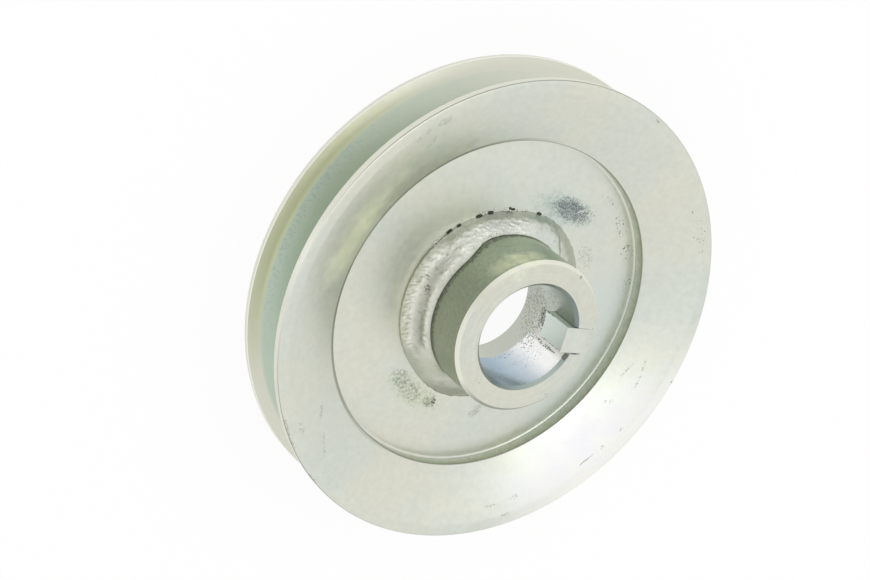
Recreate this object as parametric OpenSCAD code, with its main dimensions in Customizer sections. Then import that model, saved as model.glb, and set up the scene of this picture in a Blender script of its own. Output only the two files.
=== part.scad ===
// Belt pulley with one V groove: a rear plate and a front flange, both pressed from steel plate,
// a turned hub welded through the web, and a square drive key seated in the hub's bore.
// Lengths are in millimetres. The axis is Z: the rear rim stands on Z = 0 and the hub's nose points up.

/* [Rim] */
// Outside diameter of both flanges
outer_d = 118; // [106:1:150]
// Width across the two rims
rim_w = 18.4; // [16:0.2:26]
// Thickness of the plate, along the axis
plate_t = 3.1; // [2:0.1:4]
// Thickness of the front flange at its rim
front_rim_t = 2.1; // [1.2:0.1:4]
// Thickness of the rear flange at its rim, where pressing has thinned it more
rear_rim_t = 1.4; // [1.2:0.1:4]
// Inside diameter of the front flange, where it steps down to the web
step_d = 84.6; // [72:0.2:92]
// Width of the flat ring on which the front flange sits on the web
seat_w = 0.8; // [0.4:0.1:2]
// Width of the flat ring round a rim's face
rim_flat = 0.9; // [0.6:0.1:2]
// Width of the lip round the groove, which is pressed flatter than the wall inside it
lip_w = 2.8; // [2:0.1:5]
// Slope of the lip, in degrees
lip_slope = 20; // [10:0.5:24]
// Slope of the lip on the pulley's front face, in degrees
front_slope = 8; // [2:0.5:12]
// Slope of the dished front face where it meets its lip, in degrees
dish_slope = 18; // [14:0.5:22]
// Rounding of the crease between the lip and the wall
crease_round = 5; // [1:0.5:8]
// Rounding of the groove's mouth
mouth_round = 0.35; // [0.1:0.05:0.6]
// Rounding of the rim's outer corner
corner_round = 0.35; // [0.1:0.05:0.5]
// Rounding of the bend between the web and the rear flange
bend_round = 4; // [1:0.5:6]

/* [Hub] */
// Outside diameter of the hub
hub_d = 38.5; // [36:0.5:50]
// Height of the hub's nose above the front rim
hub_rise = 10; // [2:0.5:30]
// Diameter of the bore
bore_d = 25.4; // [16:0.1:27]
// Chamfer round the hub's nose
nose_chamfer = 0.8; // [0.2:0.1:1.2]
// Chamfer at both ends of the bore
bore_chamfer = 0.8; // [0.2:0.1:1.2]
// Radial relief of the bore along the key
bore_relief = 0.2; // [0.2:0.05:0.4]
// Length over which the bore eases into its relief
relief_run = 4; // [2:0.5:6]
// Radial gap between the hub and the hole in the web
hub_gap = 0.05; // [0.02:0.01:0.1]

/* [Drive key] */
// Width of the key
key_w = 6.35; // [4:0.05:8]
// Height of the key, along the pulley's radius
key_h = 6.35; // [4:0.05:7]
// Length of the key, from the hub's nose
key_len = 9.5; // [6:0.5:14]
// How far the key stands into the bore
key_proud = 2.5; // [1.5:0.1:3.5]
// Gap on each side of the key in its keyway
key_gap = 0.08; // [0.02:0.01:0.15]

/* [Hub weld] */
// How far the bead reaches over the web where it is narrow
weld_reach = 4.4; // [3:0.1:6]
// How much wider it is round its two ends
weld_widening = 1.6; // [0:0.1:2]
// How far the bead climbs up the hub where it is low
weld_climb = 4.2; // [3:0.1:6]
// How much higher it climbs on the side away from the key
weld_heightening = 3.0; // [0:0.1:3.5]
// How far the bead's face swells past a straight fillet at its start
weld_start_swell = 0.4; // [0.2:0.05:1]
// The same swell where the bead ends
weld_end_swell = 1.0; // [0.3:0.05:1.4]
// Depth of the bead's ripples
ripple_depth = 0.22; // [0:0.02:0.4]
// Spacing of the ripples along the bead
ripple_pitch = 2.2; // [1.8:0.1:5]
// Direction in which the bead's end laps over its start, from the key
weld_lap = 55; // [0:5:355]

/* [Hidden] */
$fn = 180;

outer_r = outer_d / 2;
step_r = step_d / 2;
hub_r = hub_d / 2;
bore_r = bore_d / 2;

// Heights of the web's two faces: its front face lies midway between the rims
web_top = rim_w / 2;
web_base = web_top - plate_t;
hub_top = rim_w + hub_rise;
key_base = hub_top - key_len;

// The crease round a flange, and how far the lip falls from it to the rim on the groove's side and outside
crease_r = outer_r - lip_w;
groove_fall = lip_w * tan(lip_slope);
face_fall = (lip_w - rim_flat) * tan(lip_slope);

// The front flange's dished face, from the step out to its lip: the height at which it meets the lip, how wide
// it is, how far it rises, and how far its middle stands out of a straight cone
front_crease = rim_w - (lip_w - rim_flat) * tan(front_slope);
face_w = crease_r - step_r;
face_rise = front_crease - web_top - plate_t;
face_bulge = (face_rise - face_w * tan(dish_slope)) / 4;
FACE_STEPS = 12;

// Radius at which the front flange's seat ends, and the corner of the rear plate's bend outside it
seat_r = step_r + seat_w;
rear_slope = atan2(web_top - rear_rim_t - groove_fall, crease_r - seat_r - bend_round / 4);
bend_r = seat_r + bend_round * tan(rear_slope / 2);

// The key's inner face, and its seat in the hub
key_in = bore_r - key_proud;
key_out = key_in + key_h;

// Overshoot of a cut past the face that it opens
past = 1;

// Weld bead: rings round the hub, and points across the bead's face
WELD_RINGS = 216;
WELD_STEPS = 8;
LAP_TURN = 0.03;
SWELL_GROWTH = [0.45, 0.8];

// Where the bead is wide, high and rippled: a direction from its lap, and the turn to either side of it
// over which that fades out
WIDE = [-75, 75, 118];
HIGH = [127, 42, 70];
RIPPLED = [75, 65, 120];

zinc = "#d3d5ca";
zinc_weld = "#dcddd3";
zinc_key = "#cbd0c6";

function unit(v) = v / norm(v);

// Arc that rounds one corner of an outline, or the corner itself where its rounding is 0
function rounded_corner(before, corner, after, r, steps = 8) =
    r == 0 ? [corner] :
    let (
        u = unit(before - corner),
        v = unit(after - corner),
        half = acos(u * v) / 2,
        centre = corner + unit(u + v) * r / sin(half),
        first = corner + u * r / tan(half) - centre,
        last = corner + v * r / tan(half) - centre,
        start = atan2(first.y, first.x),
        turn = atan2(last.y, last.x) - start,
        sweep = turn > 180 ? turn - 360 : turn < -180 ? turn + 360 : turn
    )
    [for (i = [0 : steps]) centre + r * [cos(start + sweep * i / steps), sin(start + sweep * i / steps)]];

// Outline from corners given as [radius, height, rounding]
function outline(corners) =
    let (n = len(corners), at = [for (c = corners) [c.x, c.y]])
    [for (i = [0 : n - 1]) each rounded_corner(at[(i + n - 1) % n], at[i], at[(i + 1) % n], corners[i].z)];

// Flat web, bent back into the rear flange, with a hole for the hub
module rear_plate() {
    color(zinc) rotate_extrude() polygon(outline([
        [hub_r + hub_gap, web_base, 0],
        [bend_r, web_base, bend_round],
        [crease_r, face_fall, crease_round],
        [outer_r - rim_flat, 0, 0],
        [outer_r, 0, corner_round],
        [outer_r, rear_rim_t, mouth_round],
        [crease_r, rear_rim_t + groove_fall, crease_round],
        [bend_r, web_top, bend_round],
        [hub_r + hub_gap, web_top, 0],
    ]));
}

// Height of the dished face at a share of its width: steep at the step, and flatter towards its lip
function face_height(share) = web_top + plate_t + face_rise * share + 4 * face_bulge * share * (1 - share);

// Dished ring that sits on the web and forms the other wall of the groove
module front_flange() {
    color(zinc) rotate_extrude() polygon(outline([
        [step_r, web_top, 0],
        [seat_r, web_top, 0],
        [crease_r, rim_w - front_rim_t - groove_fall, crease_round],
        [outer_r, rim_w - front_rim_t, mouth_round],
        [outer_r, rim_w, corner_round],
        [outer_r - rim_flat, rim_w, 0],
        [crease_r, front_crease, crease_round],
        for (i = [FACE_STEPS - 1 : -1 : 1]) [step_r + face_w * i / FACE_STEPS, face_height(i / FACE_STEPS), 0],
        [step_r, web_top + plate_t, corner_round],
    ]));
}

// Turned tube, flush with the back of the web, with a blind keyway open at its nose
module hub() {
    relief_r = bore_r + bore_relief;
    color(zinc) difference() {
        rotate_extrude() polygon([
            [bore_r + bore_chamfer, web_base],
            [hub_r, web_base],
            [hub_r, hub_top - nose_chamfer],
            [hub_r - nose_chamfer, hub_top],
            [relief_r + bore_chamfer, hub_top],
            [relief_r, hub_top - bore_chamfer],
            [relief_r, key_base],
            [bore_r, key_base - relief_run],
            [bore_r, web_base + bore_chamfer],
        ]);
        translate([0, -key_w / 2 - key_gap, key_base])
            cube([key_out, key_w + 2 * key_gap, key_len + past]);
    }
}

// Share of the bead laid so far at a direction: 0 at its start, 1 where its end laps over the start
function weld_share(az) = ((weld_lap - az) % 360 + 360) % 360 / 360;

function smooth(x, low, high) =
    let (t = min(max((x - low) / (high - low), 0), 1))
    t * t * (3 - 2 * t);

// 1 round the middle of a zone of the bead, fading to 0 at its ends
function in_zone(az, zone) =
    let (turn = abs((az - weld_lap - zone[0] + 540) % 360 - 180))
    1 - smooth(turn, zone[1], zone[2]);

function bead_reach(az) = weld_reach + weld_widening * in_zone(az, WIDE);

function bead_climb(az) = weld_climb + weld_heightening * in_zone(az, HIGH);

// The swell grows along the bead, and its end closes in a round nose
function bead_swell(az) =
    let (
        share = weld_share(az),
        grown = smooth(share, SWELL_GROWTH[0], SWELL_GROWTH[1]),
        nose = sqrt(1 - pow(max(share - 1 + LAP_TURN, 0) / LAP_TURN, 2))
    )
    weld_start_swell + (weld_end_swell - weld_start_swell) * grown * nose;

// Section of the bead from its toe on the web up to the hub, with ripples bowed along the bead
function weld_section(az, ripples, inner_r) =
    let (
        reach = bead_reach(az),
        climb = bead_climb(az),
        depth = ripple_depth * in_zone(az, RIPPLED),
        out = unit([climb, reach])
    )
    [
        [inner_r, web_top],
        for (i = [0 : WELD_STEPS])
            let (
                across = i / WELD_STEPS,
                bow = sin(180 * across),
                rise = bow * (bead_swell(az) + depth * sin(ripples * az + 150 * bow)),
                p = [inner_r + reach * (1 - across), web_top + climb * across]
            )
            i == 0 || i == WELD_STEPS ? p : p + rise * out
    ];

// Fillet bead that joins the hub to the web
module hub_weld() {
    inner_r = hub_r / cos(180 / WELD_RINGS);
    ripples = round(360 * (hub_r + weld_reach / 2) * PI / 180 / ripple_pitch);
    count = WELD_STEPS + 2;
    points = [
        for (ring = [0 : WELD_RINGS - 1])
            let (az = ring * 360 / WELD_RINGS)
            for (p = weld_section(az, ripples, inner_r)) [p.x * cos(az), p.x * sin(az), p.y]
    ];
    faces = [
        for (ring = [0 : WELD_RINGS - 1], i = [0 : count - 1])
            let (
                next = (ring + 1) % WELD_RINGS,
                a = ring * count + i,
                b = ring * count + (i + 1) % count,
                c = next * count + (i + 1) % count,
                d = next * count + i
            )
            each [[a, b, c], [a, c, d]]
    ];
    color(zinc_weld) polyhedron(points, faces);
}

// Square bar, flush with the hub's nose
module drive_key() {
    color(zinc_key) translate([key_in, -key_w / 2, key_base]) cube([key_h, key_w, key_len]);
}

rear_plate();
front_flange();
hub();
hub_weld();
drive_key();
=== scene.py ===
"""Zinc-plated belt pulley: plating, wear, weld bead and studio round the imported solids."""

import math
import random
from collections import namedtuple

import bmesh
import bpy
from mathutils import Euler, Matrix, Vector, noise


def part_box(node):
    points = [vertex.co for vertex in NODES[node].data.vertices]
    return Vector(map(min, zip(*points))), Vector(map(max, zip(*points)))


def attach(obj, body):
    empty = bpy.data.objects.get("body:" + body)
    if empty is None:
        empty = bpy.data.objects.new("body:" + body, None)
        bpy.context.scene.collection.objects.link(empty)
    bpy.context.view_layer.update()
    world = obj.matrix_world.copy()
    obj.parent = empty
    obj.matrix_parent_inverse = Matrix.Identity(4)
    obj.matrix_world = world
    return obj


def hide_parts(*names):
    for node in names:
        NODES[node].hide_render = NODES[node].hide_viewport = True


bl_info = {
    "name": "Belt Pulley Finish",
    "version": (1, 0, 0),
    "blender": (4, 5, 0),
    "location": "View3D > Sidebar > Pulley",
    "description": "Zinc plating, wear, weld bead and studio for a pressed-steel belt pulley",
    "category": "Object",
}

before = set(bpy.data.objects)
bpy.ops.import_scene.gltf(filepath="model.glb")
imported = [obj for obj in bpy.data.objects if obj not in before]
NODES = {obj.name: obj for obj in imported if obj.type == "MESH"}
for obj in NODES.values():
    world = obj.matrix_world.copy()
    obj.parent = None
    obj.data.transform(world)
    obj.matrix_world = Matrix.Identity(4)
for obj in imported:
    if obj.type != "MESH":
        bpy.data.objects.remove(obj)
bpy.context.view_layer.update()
MM = 0.001
# Points of a mesh that are nearer than this, in metres, are one
MERGE = 1e-6

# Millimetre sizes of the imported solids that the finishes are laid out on
RIM_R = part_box("rear_plate")[1].x / MM
WEB_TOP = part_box("front_flange")[0].z / MM
HUB_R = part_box("hub")[1].x / MM
HUB_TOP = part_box("hub")[1].z / MM
STEP_R = 42.3
LIP_R = 56.2
BORE_R = 12.7
BORE_REAR = 13.2
BEAD_LOW = 4.2
BEAD_HIGH = 7.2
# Turns from the side across from the key, in degrees, between which the darker band follows the bead down
BAND_TURNS = (44, 72)


def linear(hex_colour):
    """sRGB hex to a linear RGBA colour."""
    value = hex_colour.lstrip("#")
    shares = [int(value[i:i + 2], 16) / 255 for i in (0, 2, 4)]
    return [c / 12.92 if c <= 0.04045 else ((c + 0.055) / 1.055) ** 2.4 for c in shares] + [1.0]


def per_mm(size):
    """Texture scale at which one grain of a pattern is this many millimetres wide."""
    return 1 / (size * MM)


def add_node(tree, kind, inputs=None, **settings):
    """Add a shader node, give it its settings, set or link its inputs, and return its output in use."""
    made = tree.nodes.new("ShaderNode" + kind)
    for name, value in settings.items():
        setattr(made, name, value)
    for socket, value in (inputs or {}).items():
        if isinstance(value, bpy.types.NodeSocket):
            tree.links.new(value, made.inputs[socket])
        else:
            made.inputs[socket].default_value = value
    return next((output for output in made.outputs if output.enabled), None)


def new_tree(owner):
    owner.use_nodes = True
    owner.node_tree.nodes.clear()
    return owner.node_tree


def new_finish(name):
    """New material, its empty tree, and the coordinates that its patterns are laid out on."""
    material = bpy.data.materials.new(name)
    tree = new_tree(material)
    return material, tree, add_node(tree, "TexCoord").node.outputs["Object"]


def tint(name, hex_colour, description):
    """Colour property of a finish."""
    return bpy.props.FloatVectorProperty(
        name=name, description=description, default=linear(hex_colour),
        subtype="COLOR", size=4, min=0, max=1)


class PlatingSettings(bpy.types.PropertyGroup):
    """Colours and gloss of the zinc plating."""
    pale: tint("Pale zinc", "#dadacc", "Plating where it is thick and clean")
    cool: tint("Cool zinc", "#d3d8cf", "Plating with a faint blue cast")
    # The groove's wall and lip tints are painted reflections on one side, and the crease tint a painted
    # highlight
    wall: tint("Groove wall", "#bccbbb", "Blue-green plating in the groove, on the side away from the key")
    lip: tint("Groove lip", "#c8cbae", "Yellowed plating on the groove's lip, on that side")
    crease: tint("Crease", "#d8dcb0", "Plating on the crease where the lip meets the groove's wall")
    # This tint is polished plating, painted bright as a highlight at the groove's mouth and beside the key
    polished: tint("Polished", "#f2f2ea", "Plating polished at the groove's mouth and beside the key")
    speck: tint("Speck", "#9dafb4", "Specks on the groove's wall where the belt has rubbed")
    edge: tint("Sheared edge", "#e6e8de", "Plating on the sheared edge round the step")
    torn: tint("Torn edge", "#bfc8b0", "Plating where that edge is torn, towards its upper corner")
    # The rubbed rim tint is also painted a little brighter as a highlight
    rubbed: tint("Rubbed rim", "#e2e2d5", "Plating rubbed bright on the outside of the rims")
    # The step corner tint is painted shade
    corner: tint("Step corner", "#a4a699", "Plating worn thin on the corner of the step")
    pit: tint("Pit", "#6e7468", "Small pits where the plating is open")
    rough: bpy.props.FloatProperty(
        name="Roughness", description="Roughness of clean plating",
        default=0.37, min=0, max=1, subtype="FACTOR")


class BeadSettings(bpy.types.PropertyGroup):
    """Sizes of the weld bead between hub and web, in metres."""
    reach: bpy.props.FloatProperty(
        name="Reach", description="How far the bead reaches over the web where it is narrow",
        default=4.4 * MM, unit="LENGTH")
    widening: bpy.props.FloatProperty(
        name="Widening", description="How much wider it is round its two ends",
        default=1.6 * MM, unit="LENGTH")
    climb: bpy.props.FloatProperty(
        name="Climb", description="How far the bead climbs up the hub where it is low",
        default=BEAD_LOW * MM, unit="LENGTH")
    heightening: bpy.props.FloatProperty(
        name="Heightening", description="How much higher it climbs away from the key",
        default=(BEAD_HIGH - BEAD_LOW) * MM, unit="LENGTH")
    pitch: bpy.props.FloatProperty(
        name="Ripple pitch", description="Spacing of the ripples along the bead",
        default=0.8 * MM, unit="LENGTH")
    depth: bpy.props.FloatProperty(
        name="Ripple depth", description="Depth of the ripples", default=0.1 * MM, unit="LENGTH")


class StageSettings(bpy.types.PropertyGroup):
    """Camera, floor and light."""
    lens: bpy.props.FloatProperty(
        name="Lens", description="Focal length in millimetres", default=76.55, subtype="DISTANCE_CAMERA")
    floor: bpy.props.FloatProperty(
        name="Floor", description="Side of the floor", default=6.0, unit="LENGTH")
    room: bpy.props.FloatProperty(name="Room", description="Brightness of the room's walls", default=0.97)
    shade: bpy.props.FloatProperty(
        name="Shade", description="Brightness of the room's darker side, behind the camera", default=0.6)
    lamp: bpy.props.FloatProperty(
        name="Lamp", description="Power of the lamp overhead", default=0.59, unit="POWER")


# A patch of wear. Places and half-sizes are in millimetres, turn is the direction of its long side in
# degrees, grain the width of its grains, cover the share that they cover in its middle, depth its half-size
# upwards, soft how far the grains blur
Mark = namedtuple("Mark", "at size turn grain cover tint strength depth soft", defaults=(1.0, 1.5, 0.09))

WEB_MARKS = (
    Mark((31.0, -8.0, WEB_TOP), (22.0, 8.0), 75, 9.0, 0.9, "#d4dcda", 0.7, soft=0.9),
    Mark((13.0, 25.9, WEB_TOP), (12.5, 5.5), -9, 0.8, 0.6, "#a9bdb6", 0.7, soft=0.35),
    Mark((15.9, 25.3, WEB_TOP), (10.0, 4.3), -15, 0.35, 0.58, "#5f6a70", 0.75, soft=0.2),
    Mark((15.2, 26.0, WEB_TOP), (6.0, 3.2), -17, 0.6, 0.58, "#586066", 0.5, soft=0.35),
    Mark((18.6, 25.6, WEB_TOP), (1.7, 0.28), 24, 0.5, 0.95, "#ccd1ce"),
    Mark((25.4, 29.1, WEB_TOP), (5.5, 3.0), 139, 0.55, 0.12, "#7d8b83"),
    Mark((32.0, 23.1, WEB_TOP), (6.0, 3.4), 126, 0.6, 0.2, "#75827a"),
    Mark((36.3, 16.2, WEB_TOP), (5.5, 3.6), 114, 0.6, 0.18, "#75827a"),
    Mark((39.9, 8.0, WEB_TOP), (6.0, 2.4), 102, 0.8, 0.16, "#6c776c"),
    Mark((24.1, 14.5, WEB_TOP), (7.5, 4.0), 120, 0.45, 0.3, "#b3b9ad", 0.8),
    Mark((-13.0, -24.3, WEB_TOP), (13.0, 5.4), -27, 0.9, 0.55, "#c6cdb2", 0.8, soft=0.3),
    Mark((-17.5, -21.4, WEB_TOP), (5.4, 4.0), -50, 0.6, 0.46, "#8f9788", 0.7, soft=0.24),
    Mark((-13.5, -24.6, WEB_TOP), (5.0, 3.4), -32, 0.6, 0.46, "#8f9788", 0.7, soft=0.24),
    Mark((-7.4, -26.9, WEB_TOP), (3.0, 2.4), -15, 0.5, 0.5, "#868e80", 0.75, soft=0.24),
    Mark((-6.3, -26.8, WEB_TOP), (0.9, 1.4), 10, 0.6, 0.7, "#5d6157", soft=0.14),
    Mark((6.8, -28.9, WEB_TOP), (3.4, 1.7), 50, 0.7, 0.5, "#aeb4a8", 0.8, soft=0.3),
)

FLANGE_MARKS = (
    # The first mark is a painted highlight's lilac tint on the lower right of the face
    Mark((38.0, -33.0, 16.0), (24.0, 7.0), 46, 8.0, 0.9, "#e9e6ee", 0.85, 5, 0.9),
    Mark((-44.0, 16.0, 14.9), (11.0, 4.2), 70, 6.0, 0.95, "#f4f8d8", 0.95, 4, 0.9),
    # This mark is painted shade, a darker smear on the face beside the step
    Mark((-32.0, 29.5, 13.3), (12.5, 3.0), 47, 4.0, 0.85, "#9ea38d", 0.5, 3, 0.8),
    Mark((-50.2, -30.4, 18.4), (4.6, 0.6), -59, 0.5, 0.5, "#9a9d90", 0.6, 2),
    Mark((-47.4, -34.6, 18.4), (3.4, 0.6), -54, 0.5, 0.5, "#9a9d90", 0.6, 2),
    Mark((-39.4, -43.8, 18.3), (3.4, 0.6), -42, 0.5, 0.55, "#9a9d92", 0.9, 2),
    Mark((57.0, -13.9, 18.3), (0.8, 0.6), 0, 0.5, 0.8, "#8f938a", 0.6, 2),
    Mark((47.5, 28.5, 17.5), (10.5, 3.8), 121, 0.75, 0.08, "#72766a", 0.9, 3),
    Mark((50.4, 24.5, 18.0), (7.5, 1.8), 116, 0.4, 0.2, "#9a9d90", 0.8, 3),
    Mark((24.0, 52.9, 18.4), (1.3, 0.4), -20, 0.9, 0.75, "#8a8d84", 0.5, 3),
    Mark((44.8, -13.0, 14.1), (4.2, 0.4), 58, 0.6, 0.5, "#b4b9aa", 0.8, 3, 0.2),
    Mark((48.5, -10.8, 15.5), (2.8, 0.4), 88, 0.6, 0.5, "#b0b5a6", 0.8, 3, 0.2),
    Mark((48.1, -15.3, 15.8), (3.6, 0.4), 79, 0.6, 0.5, "#b0b5a6", 0.8, 3, 0.2),
    Mark((-40.5, -27.8, 15.2), (2.8, 0.7), -80, 0.5, 0.55, "#a9b0ae", 0.5, 3),
    Mark((-45.9, -31.0, 17.8), (3.0, 1.3), -60, 0.5, 0.4, "#a9b0ae", 0.55, 3),
    Mark((-37.8, -35.8, 16.4), (5.0, 0.7), -75, 0.5, 0.48, "#a4abab", 0.5, 3),
    Mark((39.2, -37.3, 17.3), (3.4, 0.24), 46, 0.9, 0.8, "#9a9c9c", 0.6, 3),
    Mark((42.9, -33.4, 17.4), (1.6, 0.9), 40, 0.5, 0.4, "#84877f", 0.5, 3),
    Mark((42.3, -21.9, 14.5), (2.8, 1.5), 20, 0.55, 0.3, "#8c9084", 0.5, 3),
    Mark((20.9, -48.6, 16.7), (2.4, 0.9), 25, 0.5, 0.4, "#9da097", 0.55, 3),
    Mark((14.4, -51.1, 16.9), (3.2, 0.7), 16, 0.5, 0.4, "#a6a9a0", 0.6, 3),
    Mark((19.1, -52.9, 18.0), (1.9, 0.35), 25, 0.9, 0.8, "#8b8f88", 0.6, 3),
    Mark((46.8, -28.2, 17.4), (1.0, 0.5), 60, 0.5, 0.6, "#8f938a", 0.5, 3),
    Mark((-33.1, 45.1, 17.9), (3.0, 1.5), 40, 0.8, 0.55, "#a8ada4", 0.5, 3, 0.3),
    Mark((-37.0, 41.6, 17.8), (4.0, 1.3), 60, 0.8, 0.5, "#b3b8ae", 0.55, 3, 0.3),
    Mark((-33.9, 39.8, 16.5), (3.2, 1.0), 70, 0.8, 0.5, "#b0b5ab", 0.55, 3, 0.3),
)

HUB_MARKS = (
    Mark((-7.6, 17.6, 25.3), (7.5, 3.6), 24, 3.0, 0.95, "#f4f8dc", 1.0, 2.9, 0.7),
    Mark((12.2, -4.4, 28.2), (1.6, 1.1), 40, 0.6, 0.85, "#6e7268", 0.9, 1.2, 0.2),
    Mark((14.6, -3.4, HUB_TOP), (1.8, 0.2), 0, 0.6, 0.9, "#6a6d64", 0.95, 0.8),
    Mark((17.6, 1.0, HUB_TOP), (1.2, 6.0), 0, 0.4, 0.16, "#8e9085", 0.9, 1.0),
    Mark((9.0, 16.0, HUB_TOP), (1.0, 0.6), 30, 0.4, 0.5, "#8e9085", 0.9, 1.0),
    Mark((10.5, -14.6, HUB_TOP), (5.0, 1.4), 25, 0.45, 0.2, "#8e9085", 0.9, 1.0),
    Mark((-10.0, -11.5, HUB_TOP), (1.5, 3.0), 45, 0.4, 0.22, "#9b9e92", 0.9, 1.0),
)

KEY_MARKS = (
    Mark((10.2, 0.0, 19.0), (0.8, 3.6), 0, 0.4, 0.6, "#5d6158", 0.9, 0.5),
    Mark((10.2, -3.2, 23.5), (0.8, 0.4), 0, 0.4, 0.55, "#5d6158", 0.9, 5.5),
    Mark((10.2, 3.2, 20.5), (0.8, 0.4), 0, 0.4, 0.5, "#5d6158", 0.9, 3.0),
)

# Marks inside the bore, laid out flat: each place is a direction in degrees, a height and a radius
BORE_MARKS = (
    Mark((6, 11.5, 12.8), (62, 9.0), 0, 0.45, 0.36, "#84867a", 0.65, 3.0, 0.16),
    Mark((-30, 14.8, 12.8), (26, 4.2), 0, 0.4, 0.3, "#6f7478", 0.85, 3.0, 0.12),
    Mark((-62, 14.5, 12.8), (26, 2.0), 0, 0.4, 0.22, "#6d747c", 0.9, 3.0),
    Mark((-45, 19.5, 12.8), (36, 6.0), 0, 0.35, 0.16, "#7f8a94", 0.8, 3.0),
    Mark((30, 20.0, 12.9), (20, 8.0), 0, 0.35, 0.3, "#8a958e", 0.7, 3.0, 0.14),
    Mark((0, 15.0, 12.9), (22, 1.8), 0, 0.4, 0.5, "#686b5f", 0.9, 3.0, 0.14),
    Mark((-23.5, 20.5, 12.8), (3.4, 7.5), 0, 0.45, 0.52, "#5f635a", 0.9, 3.0, 0.12),
)

BEAD_MARKS = (
    Mark((-20.6, 3.8, 13.2), (1.7, 2.2), 20, 0.5, 0.5, "#6d7068", 0.85, 2.0, 0.16),
    Mark((-21.4, 6.4, 12.4), (1.2, 1.6), 20, 0.5, 0.42, "#777a70", 0.85, 2.0, 0.16),
    Mark((6.6, 22.6, 10.2), (4.0, 1.4), -18, 0.8, 0.6, "#a9bdb3", 0.8, 2.0, 0.3),
)

# Tints that one finish each uses; a pair is the clean or lit one and the other, which on the hub's side and
# the nose's chamfer is painted shade
HUB_SIDE_LIT_AND_SHADED = ("#bfcbb5", "#abb3a2")
HUB_BEAD_BAND = "#5f655a"
BORE_BACK = "#c3c6ba"
NOSE_CHAMFER = ("#e9e9db", "#a5a69a")
KEY_SIDE = "#e2ece4"
# The weld's frost tint is painted nearly white as a highlight, and its grime tint is painted shade
WELD_FROST_HIGHLIGHT = "#fdfdf6"
WELD_SHADE = "#6b6f63"
SLAG_CRUST = ("#14150f", "#3a3b33")
SPATTER = "#dcddd2"
PAPER = "#f4f4f2"
WHITE = "#ffffff"

# Grain of each pattern in the finishes, in millimetres
CLOUD_GRAIN = 24
MOTTLE_GRAIN = 1.6
SPECK_GRAIN = 0.75
NICK_GRAIN = 1.5
BLOTCH_GRAIN = 0.8
KEY_GRAIN = (0.3, 0.3, 8)
FROST_GRAIN = 0.5
CRUST_GRAIN = 0.35

# Slag left in the toe of the bead: direction, radius and half-length of each crumb
SLAG_PLACES = (
    (134.9, 23.95, 0.85), (128.5, 23.8, 0.6), (115.5, 23.7, 0.9), (107.7, 23.8, 0.85), (93.9, 24.2, 1.05),
    (74.7, 24.6, 0.7))


def dress(node_name, material):
    """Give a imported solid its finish."""
    slots = NODES[node_name].data.materials
    slots.clear()
    slots.append(material)


def add_mark(tree, place, paint, dull, mark, laid_out=None):
    """Lay a patch of wear over a finish: grains of its tint that thin out towards its edge. The patch may
    be laid out on other coordinates than its grains."""
    local = add_node(tree, "Mapping", {
        "Vector": laid_out or place, "Location": Vector(mark.at) * MM,
        "Rotation": (0, 0, math.radians(mark.turn)), "Scale": Vector((*mark.size, mark.depth)) * MM},
        vector_type="TEXTURE")
    away = add_node(tree, "VectorMath", {0: local}, operation="LENGTH")
    outward = add_node(tree, "MapRange", {
        "Value": away, "From Min": 0.45, "From Max": 1.1, "To Min": 0.0, "To Max": -0.4},
        clamp=False)
    thinned = add_node(tree, "Math", {0: outward, 1: 0.0}, operation="MINIMUM")
    grains = add_node(tree, "TexNoise", {
        "Vector": place, "Scale": per_mm(mark.grain), "Detail": 2.0, "Roughness": 0.6})
    level = add_node(tree, "Math", {0: grains, 1: thinned}, operation="ADD")
    least = 0.5 + 0.4 * (0.5 - mark.cover)
    shown = add_node(tree, "MapRange", {
        "Value": level, "From Min": least - mark.soft / 2, "From Max": least + mark.soft / 2,
        "To Min": 0.0, "To Max": mark.strength})
    painted = add_node(tree, "Mix", {0: shown, 6: paint, 7: linear(mark.tint)}, data_type="RGBA")
    worn = add_node(tree, "Math", {0: dull, 1: shown}, operation="MAXIMUM")
    return painted, worn


def lay_clouds(tree, place, settings):
    """Pale and cool zinc in broad clouds with a fine mottle, as plating settles."""
    clouds = add_node(tree, "TexNoise", {
        "Vector": place, "Scale": per_mm(CLOUD_GRAIN), "Detail": 3.0, "Roughness": 0.55})
    cast = add_node(tree, "MapRange", {"Value": clouds, "From Min": 0.35, "From Max": 0.65})
    paint = add_node(tree, "Mix", {0: cast, 6: settings.pale, 7: settings.cool}, data_type="RGBA")
    mottle = add_node(tree, "TexNoise", {
        "Vector": place, "Scale": per_mm(MOTTLE_GRAIN), "Detail": 4.0, "Roughness": 0.65})
    grey = add_node(tree, "MapRange", {
        "Value": mottle, "From Min": 0.3, "From Max": 0.7, "To Min": 0.95, "To Max": 1.04})
    shaded = add_node(tree, "VectorMath", {0: paint, "Scale": grey}, operation="SCALE")
    return shaded, mottle


def lay_rings(tree, radius, place, width, length):
    """Faint lines of one radius that come and go along the circle, from pressing or turning."""
    along = add_node(tree, "VectorMath", {0: place, "Scale": per_mm(length)}, operation="SCALE")
    across = add_node(tree, "Math", {0: radius, 1: per_mm(width)}, operation="MULTIPLY")
    part = add_node(tree, "SeparateXYZ", {0: along}).node.outputs
    lines = add_node(tree, "CombineXYZ", {0: across, 1: part[0], 2: part[1]})
    return add_node(tree, "TexNoise", {"Vector": lines, "Scale": 1.0, "Detail": 3.0, "Roughness": 0.6})


def find_radius(tree, place):
    """Distance from the pulley's axis, in metres."""
    flat = add_node(tree, "VectorMath", {0: place, 1: (1, 1, 0)}, operation="MULTIPLY")
    return add_node(tree, "VectorMath", {0: flat}, operation="LENGTH")


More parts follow.
